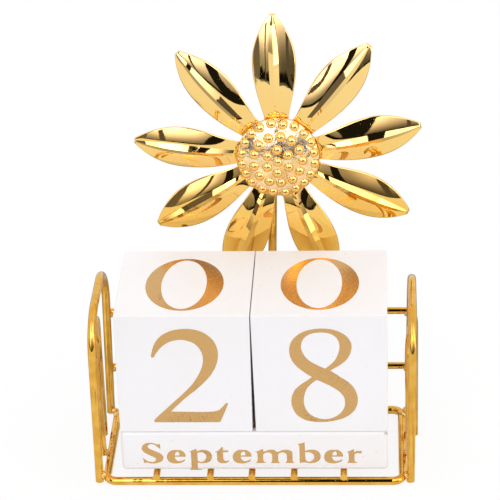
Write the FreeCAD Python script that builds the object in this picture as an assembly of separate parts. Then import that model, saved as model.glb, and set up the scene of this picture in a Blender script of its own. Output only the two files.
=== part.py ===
import FreeCAD, Part
import math
import os
from FreeCAD import Vector

# Perpetual desk calendar: two number cubes and three month bars in a soldered wire stand,
# with a pressed metal flower on a stem behind them.
# Millimetres. X runs to the right, Y to the back, Z up. The origin is on the desk,
# in the middle of the base ring.

# Painted blocks
cube_side = 50.0
cube_edge_round = 0.5
cube_gap = 0.3
bar_side = 16.8
bar_edge_round = 0.9
bar_gap = 0.15
rest_gap = 0.1
rail_clearance = 0.3
cube_set_back = 0.4
block_row_x = 0.3

# Wires
thick_wire = 3.2
thin_wire = 2.7
solder_sink = 0.3

# Base ring and the rods across it
ring_width = 112.0
ring_depth = 50.2
ring_bend_radius = 4.0
rod_offsets = [-36.8, -16.5, -0.8, 15.1, 33.8]

# Side arches, measured in the plane of each arch as depth from the ring's front bar and height
leg_lean = 5.5
outer_front_depth = 2.6
outer_back_depth = 49.0
outer_top_heights = {-1: 68.5, 1: 66.8}
outer_front_bend = 15.3
outer_shoulder_run = 5.9
outer_shoulder_drop = 10.5
outer_back_bend = 18.5
inner_front_depth = 16.4
inner_back_depth = 35.4
inner_front_lean = 7.0
inner_top_height = 54.8
inner_bend = 7.2
solder_height = 3.4
outer_arch_tilts = {-1: 0.4, 1: -0.8}
inner_arch_turn = 5.0
foot_trim = 2.0

# Back rails
lower_rail_height = 20.0
upper_rail_height = 43.5

# Stem
stem_foot_height = 15.4
stem_foot_x = 4.7
stem_side_lean = 1.8
stem_end_above_hub = 6.0

# Flower
flower_x = 9.6
flower_height = 107.8
flower_stand_off = 1.3
petal_turns = [1.4, -39.4, -79.2, -116.6, -158.6, -201.2, -238.6, -275.2, -316.4]
petal_reach = 55.0
petal_half_width = 8.2
petal_root_half_width = 4.6
petal_tip_half_width = 1.0
petal_widest_share = 0.52
petal_sheet = 0.7
petal_lean_back = 5.0
petal_bow = 10.0
petal_curl = 10.0
petal_edge_fall = 1.8
petal_root_fall = 0.15
lobe_bulge = 0.36
petal_rib_height = 1.3
petal_rib_half_width = 1.9
petal_rib_end_height = 0.1
hub_radius = 15.3
hub_sheet = 0.9
petal_step_down = 0.15
dome_radius = 15.6
dome_rim = 1.3
dome_rise = 5.0
dome_sheet = 0.9
boss_radius = 1.95
boss_sink = 0.6
boss_spacing = 4.3
boss_margin = 1.9

# Solder
rod_bead = 1.0
arch_bead = 1.7
rail_bead = 1.2
stem_bead = 1.5

# Heights and places that follow from the sizes above
wire_radius = thick_wire / 2
rod_radius = thin_wire / 2
ring_axis_height = wire_radius
rod_axis_height = ring_axis_height + wire_radius + rod_radius - solder_sink
rod_top = rod_axis_height + rod_radius
bar_bottom = rod_top + rest_gap
cube_bottom = bar_bottom + bar_side + rest_gap
bar_length = 2 * cube_side + cube_gap
ring_front = -ring_depth / 2
side_bar_x = ring_width / 2
arch_x = side_bar_x + thick_wire - solder_sink
lean_slope = math.tan(math.radians(leg_lean))
rail_standoff = (wire_radius + rod_radius - solder_sink) / math.cos(math.radians(leg_lean))


def wireAlong(points, radii, wire_radius_here):
    """Round wire along straight runs joined by tangent arcs, one radius for each inner point."""
    edges = []
    start = points[0]
    for corner, before, after, bend in zip(points[1:-1], points[:-2], points[2:], radii):
        into = (before - corner).normalize()
        out = (after - corner).normalize()
        half_turn = into.getAngle(out) / 2
        reach = bend / math.tan(half_turn)
        first = corner + into * reach
        last = corner + out * reach
        middle_way = (into + out).normalize()
        middle = corner + middle_way * (bend / math.sin(half_turn) - bend)
        if (first - start).Length > 1e-6:
            edges.append(Part.LineSegment(start, first).toShape())
        edges.append(Part.Arc(first, middle, last).toShape())
        start = last
    if (points[-1] - start).Length > 1e-6:
        edges.append(Part.LineSegment(start, points[-1]).toShape())
    path = Part.Wire(edges)
    circle = Part.makeCircle(wire_radius_here, points[0], edges[0].tangentAt(edges[0].FirstParameter))
    return path.makePipeShell([Part.Wire(circle)], True, False)


def baseRing():
    x = side_bar_x
    y = ring_depth / 2
    z = ring_axis_height
    seam_y = 0.0
    corners = [Vector(-x, seam_y, z), Vector(-x, -y, z), Vector(x, -y, z), Vector(x, y, z)]
    corners += [Vector(-x, y, z), Vector(-x, seam_y, z)]
    return wireAlong(corners, [ring_bend_radius] * 4, wire_radius)


def crossRod(x, ring):
    reach = ring_depth / 2 + wire_radius
    rod = Part.makeCylinder(rod_radius, 2 * reach, Vector(x, -reach, rod_axis_height), Vector(0, 1, 0))
    return rod.cut(ring)


def backLegDepth(height):
    """Depth of the outer arch's leaning back leg at a height."""
    return ring_front + outer_back_depth + (height - ring_axis_height) * lean_slope


def belowDesk():
    """Block under the desk plane that cuts a leaning foot flat."""
    depth = 2 * foot_trim
    return Part.makeBox(2 * ring_width, 2 * ring_depth, depth, Vector(-ring_width, -ring_depth, -depth))


def outerArch(side, ring):
    front = ring_front + outer_front_depth
    top = outer_top_heights[side]
    points = [
        Vector(0, front, -foot_trim),
        Vector(0, front, top - outer_shoulder_drop),
        Vector(0, front + outer_shoulder_run, top),
        Vector(0, backLegDepth(top), top),
        Vector(0, backLegDepth(ring_axis_height), ring_axis_height),
    ]
    arch = wireAlong(points, [outer_front_bend, outer_front_bend, outer_back_bend], wire_radius)
    arch.rotate(Vector(0, 0, ring_axis_height), Vector(0, 1, 0), outer_arch_tilts[side])
    arch.translate(Vector(-arch_x, 0, 0))
    if side > 0:
        arch = arch.mirror(Vector(0, 0, 0), Vector(1, 0, 0))
    return arch.cut([ring, belowDesk()])


def innerArch(side, ring):
    front = ring_front + inner_front_depth
    back = ring_front + inner_back_depth
    top = inner_top_height
    lean = math.tan(math.radians(inner_front_lean))
    points = [
        Vector(0, front, solder_height),
        Vector(0, front - (top - solder_height) * lean, top),
        Vector(0, back, top),
        Vector(0, back, 0),
    ]
    arch = wireAlong(points, [inner_bend, inner_bend], wire_radius)
    arch.rotate(Vector(0, front, 0), Vector(0, 0, 1), inner_arch_turn)
    arch.translate(Vector(-arch_x, 0, 0))
    if side > 0:
        arch = arch.mirror(Vector(0, 0, 0), Vector(1, 0, 0))
    return arch.cut(ring)


def archReach(side, height):
    """How far from the middle a leaning outer arch stands at a height."""
    return arch_x - (height - ring_axis_height) * math.tan(math.radians(outer_arch_tilts[side]))


def railDepth(height):
    """The rails run behind the back legs and touch them."""
    return backLegDepth(height) + rail_standoff


def blockRowFront():
    """The row of month bars ends a clearance in front of the lower rail."""
    row_depth = 3 * bar_side + 2 * bar_gap
    return railDepth(lower_rail_height) - rod_radius - rail_clearance - row_depth


def backRail(height, arches):
    left = archReach(-1, height) + wire_radius
    right = archReach(1, height) + wire_radius
    start = Vector(-left, railDepth(height), height)
    rail = Part.makeCylinder(rod_radius, left + right, start, Vector(1, 0, 0))
    for arch in arches:
        rail = rail.cut(arch)
    return rail


def stemPoint(height):
    """Point on the stem's axis at a height: it leans back with the legs and a little to the right."""
    x = stem_foot_x + (height - stem_foot_height) * math.tan(math.radians(stem_side_lean))
    return Vector(x, railDepth(height) + rail_standoff, height)


def flowerStem(rails):
    foot = stemPoint(stem_foot_height)
    head = stemPoint(flower_height + stem_end_above_hub)
    stem = Part.makeCylinder(wire_radius, (head - foot).Length, foot, head - foot)
    for rail in rails:
        stem = stem.cut(rail)
    return stem


def flowerPlace():
    """Flower frame: local x across, local y up the petals, local z out of the front face."""
    lean = math.radians(leg_lean)
    out = Vector(0, -math.cos(lean), math.sin(lean))
    up = Vector(0, math.sin(lean), math.cos(lean))
    on_stem = stemPoint(flower_height)
    centre = Vector(flower_x, on_stem.y, on_stem.z) + out * (wire_radius + flower_stand_off + hub_sheet)
    placed = FreeCAD.Matrix()
    placed.A11, placed.A21, placed.A31 = 1, 0, 0
    placed.A12, placed.A22, placed.A32 = up.x, up.y, up.z
    placed.A13, placed.A23, placed.A33 = out.x, out.y, out.z
    placed.A14, placed.A24, placed.A34 = centre.x, centre.y, centre.z
    return placed


def petalProfile(share):
    """How far the petal's ground line stands out in front of the hub at a share of its length."""
    turn = 2 * share - 1
    back = petal_lean_back * share + petal_bow * (turn ** 2 - 1) / 4 + petal_curl * (turn ** 4 - 1) / 8
    return -petal_step_down - math.radians(back) * (petal_reach - dome_radius)


def petalSection(share):
    """Closed section across the petal at a share of its free length, root 0 and tip 1."""
    inside = max(share, 0)
    swell = math.sin(math.pi * min(inside, 1))
    if share < petal_widest_share:
        widening = math.sin(math.pi / 2 * inside / petal_widest_share) ** 1.2
        half = petal_root_half_width + (petal_half_width - petal_root_half_width) * widening
    else:
        taper = (share - petal_widest_share) / (1 - petal_widest_share)
        half = petal_tip_half_width + (petal_half_width - petal_tip_half_width) * (1 - taper ** 2.1)
    rib_half = half / 4 + (petal_rib_half_width - petal_half_width / 4) * swell
    rib = petal_rib_end_height + petal_rib_height * swell
    steepness = math.sin(math.pi / 2 * min(1, inside * 2)) * (half / petal_half_width) ** 2
    fall = petal_root_fall + petal_edge_fall * steepness
    ground = petalProfile(share)
    y = dome_radius + share * (petal_reach - dome_radius)

    def outline(drop):
        edge = Vector(-half, y, ground - fall - drop)
        middle = Vector(-(half + rib_half) / 2, y, ground - fall * lobe_bulge - drop)
        foot = Vector(-rib_half, y, ground - drop)
        crest = Vector(0, y, ground + rib - drop)
        return edge, middle, foot, crest

    def mirrored(point):
        return Vector(-point.x, point.y, point.z)

    top = outline(0)
    under = outline(petal_sheet)
    edges = [
        Part.Arc(top[0], top[1], top[2]).toShape(),
        Part.LineSegment(top[2], top[3]).toShape(),
        Part.LineSegment(top[3], mirrored(top[2])).toShape(),
        Part.Arc(mirrored(top[2]), mirrored(top[1]), mirrored(top[0])).toShape(),
        Part.LineSegment(mirrored(top[0]), mirrored(under[0])).toShape(),
        Part.Arc(mirrored(under[0]), mirrored(under[1]), mirrored(under[2])).toShape(),
        Part.LineSegment(mirrored(under[2]), under[3]).toShape(),
        Part.LineSegment(under[3], under[2]).toShape(),
        Part.Arc(under[2], under[1], under[0]).toShape(),
        Part.LineSegment(under[0], top[0]).toShape(),
    ]
    return Part.Wire(edges)


def petalPlate():
    shares = [-0.1, 0.0, 0.12, 0.27, 0.43, 0.58, 0.72, 0.84, 0.94, 1.0]
    petal = Part.makeLoft([petalSection(share) for share in shares], True, False)
    plate = Part.makeCylinder(hub_radius, hub_sheet, Vector(0, 0, -hub_sheet), Vector(0, 0, 1))
    petals = []
    for turn in petal_turns:
        leaf = petal.copy()
        leaf.rotate(Vector(0, 0, 0), Vector(0, 0, 1), turn)
        petals.append(leaf)
    plate = plate.fuse(petals)
    plate.transformShape(flowerPlace())
    return plate


def bossPlaces():
    """Bosses in rings round a middle one, as many in each ring as its length holds."""
    places = [(0.0, 0.0)]
    rings = int((dome_radius - boss_margin) / boss_spacing)
    step = (dome_radius - boss_margin) / rings
    for ring in range(1, rings + 1):
        count = int(2 * math.pi * ring * step / boss_spacing)
        for number in range(count):
            angle = 2 * math.pi * (number + 0.5 * (ring % 2)) / count
            places.append((ring * step, angle))
    return places


def seedDome():
    ball_radius = (dome_radius ** 2 + dome_rise ** 2) / (2 * dome_rise)
    ball_centre = dome_rim + dome_rise - ball_radius

    def cap(radius, rim_radius, rim_height, crown):
        halfway = rim_radius / 2
        on_arc = ball_centre + math.sqrt(radius ** 2 - halfway ** 2)
        return Vector(rim_radius, 0, rim_height), Vector(halfway, 0, on_arc), Vector(0, 0, crown)

    inner_rim = dome_radius - dome_sheet
    inner_ball = ball_radius - dome_sheet
    inner_height = ball_centre + math.sqrt(inner_ball ** 2 - inner_rim ** 2)
    outer = cap(ball_radius, dome_radius, dome_rim, dome_rim + dome_rise)
    inner = cap(inner_ball, inner_rim, inner_height, dome_rim + dome_rise - dome_sheet)
    profile = Part.Wire([
        Part.LineSegment(Vector(dome_radius, 0, 0), outer[0]).toShape(),
        Part.Arc(*outer).toShape(),
        Part.LineSegment(outer[2], inner[2]).toShape(),
        Part.Arc(inner[2], inner[1], inner[0]).toShape(),
        Part.LineSegment(inner[0], Vector(inner_rim, 0, 0)).toShape(),
        Part.LineSegment(Vector(inner_rim, 0, 0), Vector(dome_radius, 0, 0)).toShape(),
    ])
    dome = Part.Face(profile).revolve(Vector(0, 0, 0), Vector(0, 0, 1), 360)
    cut_ball = Part.makeSphere(ball_radius - dome_sheet / 2, Vector(0, 0, ball_centre))
    bosses = []
    for radius, angle in bossPlaces():
        seat = ball_radius - boss_sink
        height = ball_centre + math.sqrt(seat ** 2 - radius ** 2)
        place = Vector(radius * math.cos(angle), radius * math.sin(angle), height)
        boss = Part.makeSphere(boss_radius, place)
        bosses.append(boss.cut(cut_ball))
    dome = dome.fuse(bosses)
    dome.transformShape(flowerPlace())
    return dome


def roundedBlock(corner, width, depth, height, edge_round):
    block = Part.makeBox(width, depth, height, corner)
    return block.makeFillet(edge_round, block.Edges)


def numberCube(side):
    x = cube_gap / 2 if side > 0 else -cube_gap / 2 - cube_side
    corner = Vector(block_row_x + x, blockRowFront() + cube_set_back, cube_bottom)
    return roundedBlock(corner, cube_side, cube_side, cube_side, cube_edge_round)


def monthBar(place):
    y = blockRowFront() + place * (bar_side + bar_gap)
    corner = Vector(block_row_x - bar_length / 2, y, bar_bottom)
    return roundedBlock(corner, bar_length, bar_side, bar_side, bar_edge_round)


def beads(places, radius):
    return Part.makeCompound([Part.makeSphere(radius, place) for place in places])


def rodWelds():
    y = ring_depth / 2 - wire_radius * 0.9
    z = rod_axis_height - rod_radius
    return beads([Vector(x, side * y, z) for x in rod_offsets for side in (-1, 1)], rod_bead)


def archWelds():
    places = []
    between = (side_bar_x + arch_x) / 2
    for side in (-1, 1):
        places.append(Vector(side * between, ring_front + outer_front_depth, thick_wire * 0.8))
        places.append(Vector(side * (between + 0.3), ring_front + inner_front_depth, solder_height + 0.4))
        leg_end = backLegDepth(ring_axis_height)
        places.append(Vector(side * between, leg_end - 0.6, thick_wire * 0.8))
        places.append(Vector(side * (side_bar_x + 0.2), leg_end - arch_bead * 2.2, thick_wire * 0.75))
    return beads(places, arch_bead)


def railWelds():
    places = []
    for height in (lower_rail_height, upper_rail_height):
        y = backLegDepth(height) + wire_radius
        for side in (-1, 1):
            x = archReach(side, height) - wire_radius
            places.append(Vector(side * x, y, height - rod_radius * 0.6))
    return beads(places, rail_bead)


def stemWelds():
    places = []
    for height in (lower_rail_height, upper_rail_height):
        on_stem = stemPoint(height)
        places.append(on_stem + Vector(wire_radius, -wire_radius, -rod_radius * 0.5))
    for along in (-0.35, 0.3):
        on_stem = stemPoint(flower_height + along * hub_radius)
        places.append(on_stem - Vector(0, wire_radius, 0))
    return beads(places, stem_bead)


def assembly():
    ring = baseRing()
    nodes = {"base_ring": ring}
    for number, x in enumerate(rod_offsets, 1):
        nodes["cross_rod_" + str(number)] = crossRod(x, ring)
    nodes["left_outer_arch"] = outerArch(-1, ring)
    nodes["right_outer_arch"] = outerArch(1, ring)
    nodes["left_inner_arch"] = innerArch(-1, ring)
    nodes["right_inner_arch"] = innerArch(1, ring)
    outer_arches = [nodes["left_outer_arch"], nodes["right_outer_arch"]]
    nodes["lower_back_rail"] = backRail(lower_rail_height, outer_arches)
    nodes["upper_back_rail"] = backRail(upper_rail_height, outer_arches)
    nodes["flower_stem"] = flowerStem([nodes["lower_back_rail"], nodes["upper_back_rail"]])
    nodes["petal_plate"] = petalPlate()
    nodes["seed_dome"] = seedDome()
    nodes["tens_cube"] = numberCube(-1)
    nodes["units_cube"] = numberCube(1)
    for place, name in enumerate(("front_month_bar", "middle_month_bar", "back_month_bar")):
        nodes[name] = monthBar(place)
    nodes["rod_welds"] = rodWelds()
    nodes["arch_welds"] = archWelds()
    nodes["rail_welds"] = railWelds()
    nodes["stem_welds"] = stemWelds()
    return nodes


os.makedirs("parts", exist_ok=True)
for name, shape in assembly().items():
    solids = shape.Solids
    volume = sum(solid.Volume for solid in solids)
    print(name, len(solids), "solid(s)", round(volume, 1), "mm3", "valid" if shape.isValid() else "NOT VALID")
    single = solids[0] if len(solids) == 1 else Part.makeCompound(solids)
    single.exportStep("parts/" + name + ".step")
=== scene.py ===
import math
import random

import bmesh
import bpy
from mathutils import Matrix, Vector, geometry, noise


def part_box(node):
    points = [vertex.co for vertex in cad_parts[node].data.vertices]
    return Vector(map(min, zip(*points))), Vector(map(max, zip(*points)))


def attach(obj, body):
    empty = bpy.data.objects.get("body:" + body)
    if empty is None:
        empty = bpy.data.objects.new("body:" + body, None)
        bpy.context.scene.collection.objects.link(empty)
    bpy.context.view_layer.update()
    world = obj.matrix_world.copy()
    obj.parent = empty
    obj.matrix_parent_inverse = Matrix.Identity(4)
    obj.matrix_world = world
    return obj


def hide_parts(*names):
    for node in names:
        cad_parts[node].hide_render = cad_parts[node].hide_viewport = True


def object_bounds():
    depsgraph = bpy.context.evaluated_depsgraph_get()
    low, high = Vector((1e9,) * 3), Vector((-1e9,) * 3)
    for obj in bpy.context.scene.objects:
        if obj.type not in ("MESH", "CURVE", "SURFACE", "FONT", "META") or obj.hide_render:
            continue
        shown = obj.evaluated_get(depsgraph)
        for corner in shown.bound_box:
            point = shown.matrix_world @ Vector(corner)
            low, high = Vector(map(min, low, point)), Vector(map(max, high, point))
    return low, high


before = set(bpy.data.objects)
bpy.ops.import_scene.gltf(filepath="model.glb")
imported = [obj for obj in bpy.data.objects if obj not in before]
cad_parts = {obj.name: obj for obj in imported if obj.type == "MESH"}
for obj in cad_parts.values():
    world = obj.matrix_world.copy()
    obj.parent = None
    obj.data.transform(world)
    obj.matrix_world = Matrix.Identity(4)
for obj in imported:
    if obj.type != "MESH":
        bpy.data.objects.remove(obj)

mm = 0.001
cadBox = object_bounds()
print("frame loaded:", len(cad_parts), "nodes")

# The view of the photograph: a long lens, looking down on the blocks from a little to the right
viewpoint = {
    "place": (50.25, -812.1, 527.1),  # mm
    "pitch": 28.4, "yaw": 3.55, "roll": -2.0,  # degrees
    "lens": 180.0, "sensor": 36.0,
}


def makeCamera():
    data = bpy.data.cameras.new("viewCamera")
    data.lens = viewpoint["lens"]
    data.sensor_width = viewpoint["sensor"]
    data.clip_end = 20
    camera = bpy.data.objects.new("viewCamera", data)
    bpy.context.scene.collection.objects.link(camera)
    turn = Matrix.Rotation(math.radians(viewpoint["yaw"]), 4, "Z")
    tip = Matrix.Rotation(math.radians(90 - viewpoint["pitch"]), 4, "X")
    roll = Matrix.Rotation(math.radians(viewpoint["roll"]), 4, "Z")
    camera.matrix_world = Matrix.Translation(Vector(viewpoint["place"]) * mm) @ turn @ tip @ roll
    bpy.context.scene.camera = camera


# Shader expressions: a Wire wraps a socket, so 1 - mask adds its Math node
class Wire:
    def __init__(self, shader, socket):
        self.shader = shader
        self.socket = socket

    def math(self, operation, first, second):
        values = {0: first, 1: second}
        return self.shader.node("ShaderNodeMath", {"operation": operation}, values).out(0)

    def __add__(self, other):
        return self.math("ADD", self, other)

    def __radd__(self, other):
        return self.math("ADD", other, self)

    def __sub__(self, other):
        return self.math("SUBTRACT", self, other)

    def __rsub__(self, other):
        return self.math("SUBTRACT", other, self)

    def __mul__(self, other):
        return self.math("MULTIPLY", self, other)

    def __rmul__(self, other):
        return self.math("MULTIPLY", other, self)

    def __truediv__(self, other):
        return self.math("DIVIDE", self, other)

    def __rtruediv__(self, other):
        return self.math("DIVIDE", other, self)

    def highest(self, other):
        return self.math("MAXIMUM", self, other)

    def lowest(self, other):
        return self.math("MINIMUM", self, other)

    def absolute(self):
        return self.math("ABSOLUTE", self, 0.0)


class Box:  # a node of the shader, with its outputs as wires
    def __init__(self, shader, node):
        self.shader = shader
        self.node = node

    def out(self, name):
        return Wire(self.shader, self.node.outputs[name])


class Shader:
    def __init__(self, tree):
        self.tree = tree

    def node(self, kind, settings=None, values=None):
        made = self.tree.nodes.new(kind)
        for name, value in (settings or {}).items():
            if name == "stops":
                ramp = made.color_ramp
                while len(ramp.elements) < len(value):
                    ramp.elements.new(0.5)
                for element, (place, colour) in zip(ramp.elements, value):
                    element.position = place
                    element.color = rgba(colour)
            else:
                setattr(made, name, value)
        for name, value in (values or {}).items():
            if isinstance(value, Wire):
                self.tree.links.new(value.socket, made.inputs[name])
            else:
                made.inputs[name].default_value = value
        return Box(self, made)

    def place(self):
        return self.node("ShaderNodeTexCoord").out("Object")

    def split(self, vector):
        parts = self.node("ShaderNodeSeparateXYZ", {}, {0: vector})
        return parts.out(0), parts.out(1), parts.out(2)

    def noise(self, scale, detail=3.0, roughness=0.5, place=None):
        values = {"Vector": place or self.place(), "Scale": scale, "Detail": detail, "Roughness": roughness}
        return self.node("ShaderNodeTexNoise", {}, values).out(0)

    def ramp(self, factor, stops):
        return self.node("ShaderNodeValToRGB", {"stops": stops}, {0: factor}).out(0)

    def mix(self, factor, first, second):
        values = {0: factor, 6: first, 7: second}
        return self.node("ShaderNodeMix", {"data_type": "RGBA"}, values).out(2)

    def remap(self, value, low, high, newLow, newHigh):
        values = {0: value, 1: low, 2: high, 3: newLow, 4: newHigh}
        return self.node("ShaderNodeMapRange", {}, values).out(0)

    def bump(self, height, strength, distance):
        values = {"Height": height, "Strength": strength, "Distance": distance}
        return self.node("ShaderNodeBump", {}, values).out(0)

    def surface(self, values):
        return self.node("ShaderNodeBsdfPrincipled", {}, values).out(0)


def material(name, build):
    made = bpy.data.materials.new(name)
    made.use_nodes = True
    made.node_tree.nodes.clear()
    shader = Shader(made.node_tree)
    surface = build(shader)
    shader.node("ShaderNodeOutputMaterial", {}, {"Surface": surface})
    return made


def rgba(colour):
    return (*colour, 1.0)


# The plated wire. Scales are waves per metre, here and below
wirePlating = {
    "gold": (0.82, 0.48, 0.095), "deepGold": (0.72, 0.38, 0.05), "toneScale": 220.0,
    "roughness": 0.045, "speckRoughness": 0.25, "speckScale": 2600.0, "speckHeight": 0.1,
    "waveScale": 160.0, "waves": 0.12, "waveDepth": 0.0004,
    "line": (0.50, 0.26, 0.04), "lineScale": 800.0, "squeeze": 0.03,
    "lineFoot": 0.040, "lineTop": 0.050,  # m above the desk, where the lines fade out
}


def wireGold(shader, drawnAndStreaked=0.0):
    # drawn wire has fine lines along it, here on the upright legs below the bends; the lines also darken its
    # colour, as painted reflection streaks
    look = wirePlating
    drift = shader.remap(shader.noise(look["toneScale"], 2.0), 0.35, 0.65, 0, 1)
    tone = shader.mix(drift, rgba(look["deepGold"]), rgba(look["gold"]))
    height = shader.split(shader.place())[2]
    squeezed = {0: shader.place(), 1: (1.0, 1.0, look["squeeze"])}
    along = shader.node("ShaderNodeVectorMath", {"operation": "MULTIPLY"}, squeezed).out(0)
    lines = shader.noise(look["lineScale"], 2.0, 0.5, along)
    lines = lines * shader.remap(height, look["lineFoot"], look["lineTop"], drawnAndStreaked, 0)
    # painted reflection: the lines darken the gold, standing in for the dark streaks that the legs mirror
    tone = shader.mix(shader.remap(lines, 0.52, 0.60, 0, 0.8), tone, rgba(look["line"]))
    specks = shader.remap(shader.noise(look["speckScale"], 2.0), 0.68, 0.74, 0, 1)
    relief = shader.noise(look["waveScale"], 2.0) + specks * look["speckHeight"] + lines
    return shader.surface({
        "Base Color": tone, "Metallic": 1.0,
        "Roughness": shader.remap(specks, 0, 1, look["roughness"], look["speckRoughness"]),
        "Normal": shader.bump(relief, look["waves"], look["waveDepth"]),
    })


def legGold(shader):
    return wireGold(shader, 1.0)


flowerPlating = {
    "lowGold": (0.90, 0.52, 0.08), "paintedHighlightGold": (0.95, 0.66, 0.24),
    "lowest": 0.075, "highest": 0.15, "toneStray": 0.03, "toneScale": 45.0,  # m above the desk
    "roughness": 0.035, "speckRoughness": 0.25, "speckScale": 1700.0, "speckHeight": 0.05,
    "grainScale": 5200.0, "grainHeight": 0.01, "dentScale": 230.0, "dents": 0.06, "dentDepth": 0.0003,
}


def flowerGold(shader):
    # painted highlight: the colour is painted paler on the upper petals and deeper on the lower ones, for
    # the light that they mirror
    look = flowerPlating
    height = shader.split(shader.place())[2] + shader.noise(look["toneScale"], 2.0) * look["toneStray"]
    rise = shader.remap(height, look["lowest"], look["highest"], 0, 1)
    grain = shader.noise(look["grainScale"], 1.0)
    dents = shader.noise(look["dentScale"], 2.0)
    specks = shader.remap(shader.noise(look["speckScale"], 2.0), 0.7, 0.76, 0, 1)
    relief = dents + grain * look["grainHeight"] + specks * look["speckHeight"]
    return shader.surface({
        "Base Color": shader.mix(rise, rgba(look["lowGold"]), rgba(look["paintedHighlightGold"])), "Metallic": 1.0,
        "Roughness": shader.remap(specks, 0, 1, look["roughness"], look["speckRoughness"]),
        "Normal": shader.bump(relief, look["dents"], look["dentDepth"]),
    })


domePlating = {
    "gold": (0.86, 0.60, 0.24), "paleGold": (0.98, 0.82, 0.55), "lumpScale": 330.0, "fineScale": 1500.0,
    "fineHeight": 0.15, "smoothest": 0.08, "roughest": 0.2, "lumps": 0.4, "lumpDepth": 0.0008,
}


def domeGold(shader):
    look = domePlating
    lumps = shader.noise(look["lumpScale"], 3.0, 0.55)
    fine = shader.noise(look["fineScale"], 2.0)
    pale = shader.remap(lumps, 0.35, 0.65, 0, 1)
    return shader.surface({
        "Base Color": shader.mix(pale, rgba(look["gold"]), rgba(look["paleGold"])), "Metallic": 1.0,
        "Roughness": shader.remap(fine, 0.3, 0.7, look["smoothest"], look["roughest"]),
        "Normal": shader.bump(lumps + fine * look["fineHeight"], look["lumps"], look["lumpDepth"]),
    })


solderLook = {
    "tones": [(0.3, (0.55, 0.33, 0.09)), (0.55, (0.88, 0.60, 0.20)), (0.75, (1.0, 0.82, 0.52))],
    "lumpScale": 900.0, "smoothest": 0.16, "roughest": 0.34, "lumps": 0.8, "lumpDepth": 0.0006,
}


def solderGold(shader):
    look = solderLook
    lumps = shader.noise(look["lumpScale"], 4.0, 0.6)
    return shader.surface({
        "Base Color": shader.ramp(lumps, look["tones"]), "Metallic": 1.0,
        "Roughness": shader.remap(lumps, 0.3, 0.7, look["smoothest"], look["roughest"]),
        "Normal": shader.bump(lumps, look["lumps"], look["lumpDepth"]),
    })


paint = {
    "white": (0.905, 0.893, 0.912), "warmWhite": (0.90, 0.872, 0.868), "toneScale": 30.0,
    "speck": (0.62, 0.54, 0.50), "speckScale": 640.0,
    "chip": (0.46, 0.30, 0.22), "chipPlace": (-0.3, 0.2, -0.4),  # mm from the corner
    "chipSize": (1.4, 2.1), "chipStray": 1.6, "chipScale": 1400.0,  # mm, mm, waves per metre
    "smoothest": 0.40, "roughest": 0.52, "grainScale": 150.0, "peelScale": 900.0,
    "peel": 0.10, "peelDepth": 0.0002,
}


def whitePaint(shader):
    clouds = shader.remap(shader.noise(paint["toneScale"], 3.0), 0.4, 0.7, 0, 1)
    tone = shader.mix(clouds, rgba(paint["white"]), rgba(paint["warmWhite"]))
    specks = shader.remap(shader.noise(paint["speckScale"], 1.0), 0.775, 0.80, 0, 0.6)
    tone = shader.mix(specks, tone, rgba(paint["speck"]))
    # one knocked corner, at the right of the front bar
    low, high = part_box("front_month_bar")
    corner = Vector((high[0], low[1], high[2])) + Vector(paint["chipPlace"]) * mm
    values = {0: shader.place(), 1: tuple(corner)}
    away = shader.node("ShaderNodeVectorMath", {"operation": "DISTANCE"}, values).out(1)
    away = away + shader.noise(paint["chipScale"], 2.0) * (paint["chipStray"] * mm)
    full, end = paint["chipSize"]
    tone = shader.mix(shader.remap(away, full * mm, end * mm, 0.7, 0), tone, rgba(paint["chip"]))
    peel = shader.noise(paint["peelScale"], 3.0)
    grain = shader.noise(paint["grainScale"], 4.0, 0.6)
    return shader.surface({
        "Base Color": tone,
        "Roughness": shader.remap(grain, 0.3, 0.7, paint["smoothest"], paint["roughest"]),
        "Normal": shader.bump(peel * 0.5 + grain * 0.5, paint["peel"], paint["peelDepth"]),
    })


foilLook = {
    "gold": (0.70, 0.435, 0.175), "grain": (0.60, 0.36, 0.14), "worn": (0.30, 0.17, 0.07),
    "grainScale": 4200.0, "patchScale": 70.0, "crumbScale": 2400.0,
    "roughness": 0.27, "wornRoughness": 0.6, "relief": 0.15, "reliefDepth": 0.0001,
}


def foil(shader):
    patches = shader.remap(shader.noise(foilLook["patchScale"], 2.0), 0.52, 0.62, 0, 1)
    crumbs = shader.noise(foilLook["crumbScale"], 3.0, 0.6)
    worn = shader.remap(crumbs, 0.56, 0.62, 0, 0.8) * patches
    grain = shader.remap(shader.noise(foilLook["grainScale"], 2.0), 0.35, 0.65, 0, 1)
    tone = shader.mix(grain, rgba(foilLook["grain"]), rgba(foilLook["gold"]))
    return shader.surface({
        "Base Color": shader.mix(worn, tone, rgba(foilLook["worn"])), "Metallic": 1.0,
        "Roughness": shader.remap(worn, 0, 1, foilLook["roughness"], foilLook["wornRoughness"]),
        "Normal": shader.bump(crumbs, foilLook["relief"], foilLook["reliefDepth"]),
    })


# The white table. Lengths are in metres
whiteBack = {
    "front": -0.62, "side": 3.0, "back": 3.0,
    "grey": (0.93, 0.93, 0.93), "white": (0.95, 0.95, 0.95), "toneScale": 3.0, "roughness": 0.7,
    "share": 0.86,  # how much of it shows as plain white; the rest takes the object's shadow
    "shade": 0.62, "shadeStart": (-0.01, 0.05), "shadeEnd": (0.3, 0.6),
}


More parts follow.
